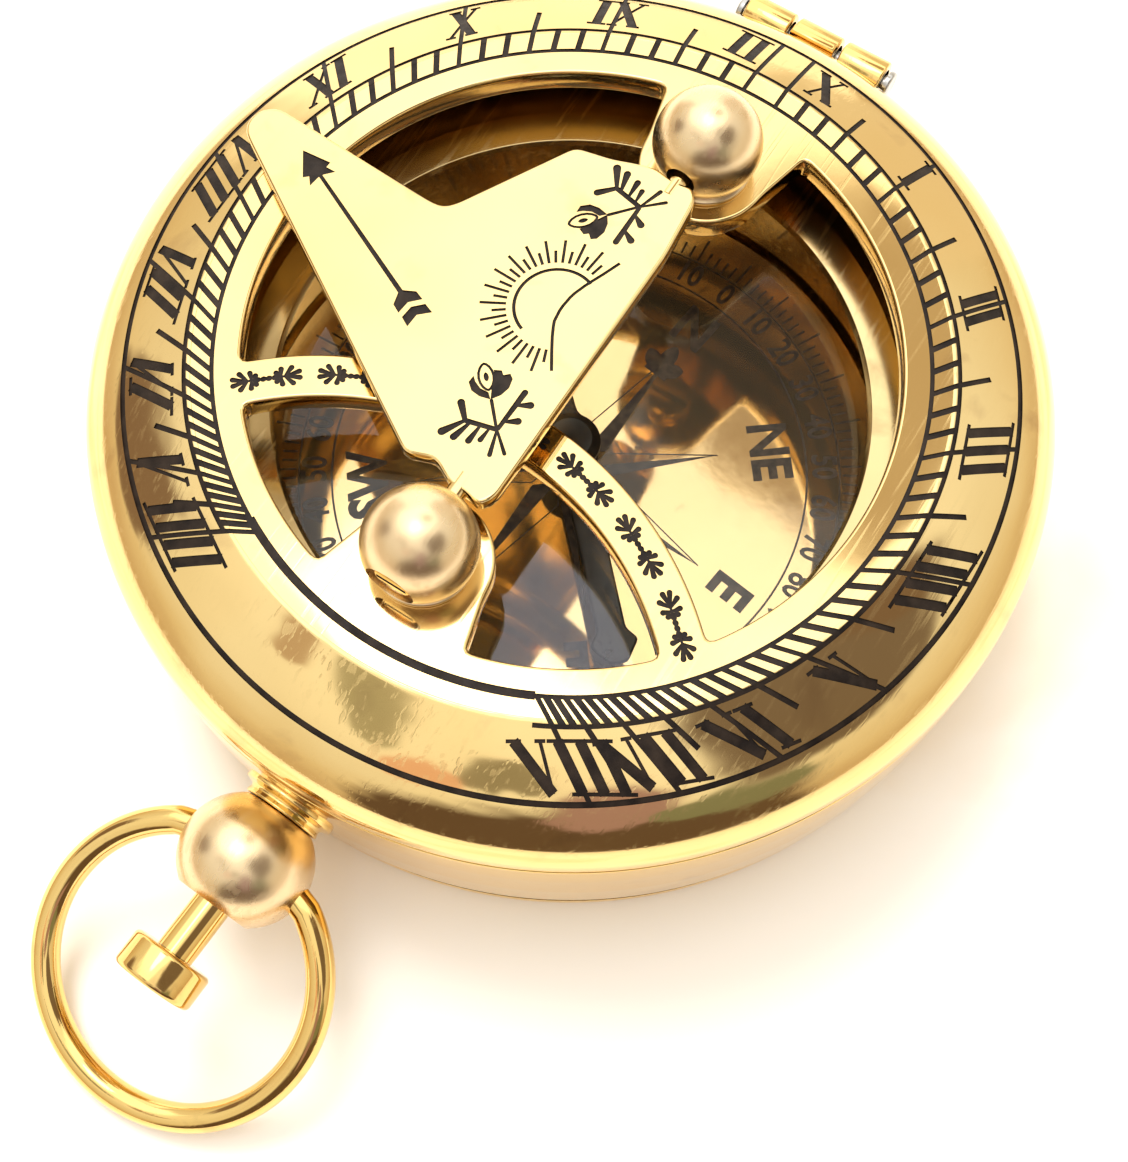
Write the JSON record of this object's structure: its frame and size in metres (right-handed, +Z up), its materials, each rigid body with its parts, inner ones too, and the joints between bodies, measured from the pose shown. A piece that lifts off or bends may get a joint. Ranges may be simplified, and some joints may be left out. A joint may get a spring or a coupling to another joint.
{
  "type": "pocket sundial",
  "caption": "Round brass pocket case with a compass under glass, a hinged hour-ring lid with open windows, a folding gnomon on ball posts, and a push-button pendant with a bow ring.",
  "frame": {"origin": "centre of the case's flat underside, on the axis of the round case", "axes": "+Z up through the hour ring; +Y towards the lid hinge and the noon mark; the pendant lies towards -Y; the folded gnomon lies towards -X"},
  "size_m": [0.05, 0.0689, 0.0215],
  "materials": {
    "case_brass": "polished brass with light handling wear",
    "dial_brass": "polished pale brass with black-filled engraving",
    "dial_card": "printed gilt card",
    "glass": "clear flat glass",
    "steel": "plain steel",
    "blacked_steel": "black lacquer"
  },
  "bodies": {
    "case": {"lower_case": "case_brass", "compass_dial": "dial_card", "compass_wall": "case_brass", "compass_glass": "glass", "glass_ring": "case_brass", "needle_pivot": "steel", "hinge_knuckle_east": "case_brass", "hinge_knuckle_west": "case_brass", "hinge_pin": "steel", "lift_spring": "steel", "lift_spring_screw": "steel", "catch_spring_screw": "steel", "pendant_neck": "case_brass", "pendant_ball": "case_brass", "button_spring": "steel"},
    "lid": {"sundial_ring": "dial_brass", "lid_knuckle": "case_brass", "lid_catch_lip": "case_brass", "south_post": "dial_brass", "south_post_screw": "case_brass", "south_pivot_screw": "case_brass", "north_post": "dial_brass", "north_post_screw": "case_brass", "north_pivot_screw": "case_brass"},
    "gnomon": {"gnomon_plate": "dial_brass"},
    "needle": {"compass_needle": "blacked_steel", "needle_hub": "blacked_steel"},
    "bow": {"bow_ring": "case_brass"},
    "button": {"button_stem": "case_brass", "button_cap": "case_brass"},
    "catch": {"catch_spring": "steel"}
  },
  "joints": [
    {"name": "lid_hinge", "type": "hinge", "parent": "case", "child": "lid", "pos_m": [0, 0.0255, 0.01205], "axis": [-1, 0, 0], "range_deg": [0, 100]},
    {"name": "gnomon_fold", "type": "hinge", "parent": "lid", "child": "gnomon", "pos_m": [0, 0, 0.0187], "axis": [0, 1, 0], "range_deg": [0, 94.4]},
    {"name": "needle_spin", "type": "hinge", "parent": "case", "child": "needle", "pos_m": [0, 0, 0.0054], "axis": [0, 0, 1], "continuous": true},
    {"name": "bow_swing", "type": "hinge", "parent": "case", "child": "bow", "pos_m": [-0.00109, -0.02848, 0.0068], "axis": [-0.9993, 0.0384, 0], "range_deg": [-85, 125]},
    {"name": "button_press", "type": "slide", "parent": "case", "child": "button", "axis": [0.0384, 0.9993, 0], "range_m": [0, 0.0012], "stiffness_N_per_m": 1200, "springref_m": -0.0008, "deforming": ["button_spring"]},
    {"name": "catch_release", "type": "hinge", "parent": "case", "child": "catch", "pos_m": [-0.013, -0.01725, 0.0068], "axis": [0, 0, 1], "range_deg": [0, 5.2]}
  ],
  "couplings": [
    {"joint": "catch_release", "follows": "button_press", "rad_per_m": 75}
  ]
}
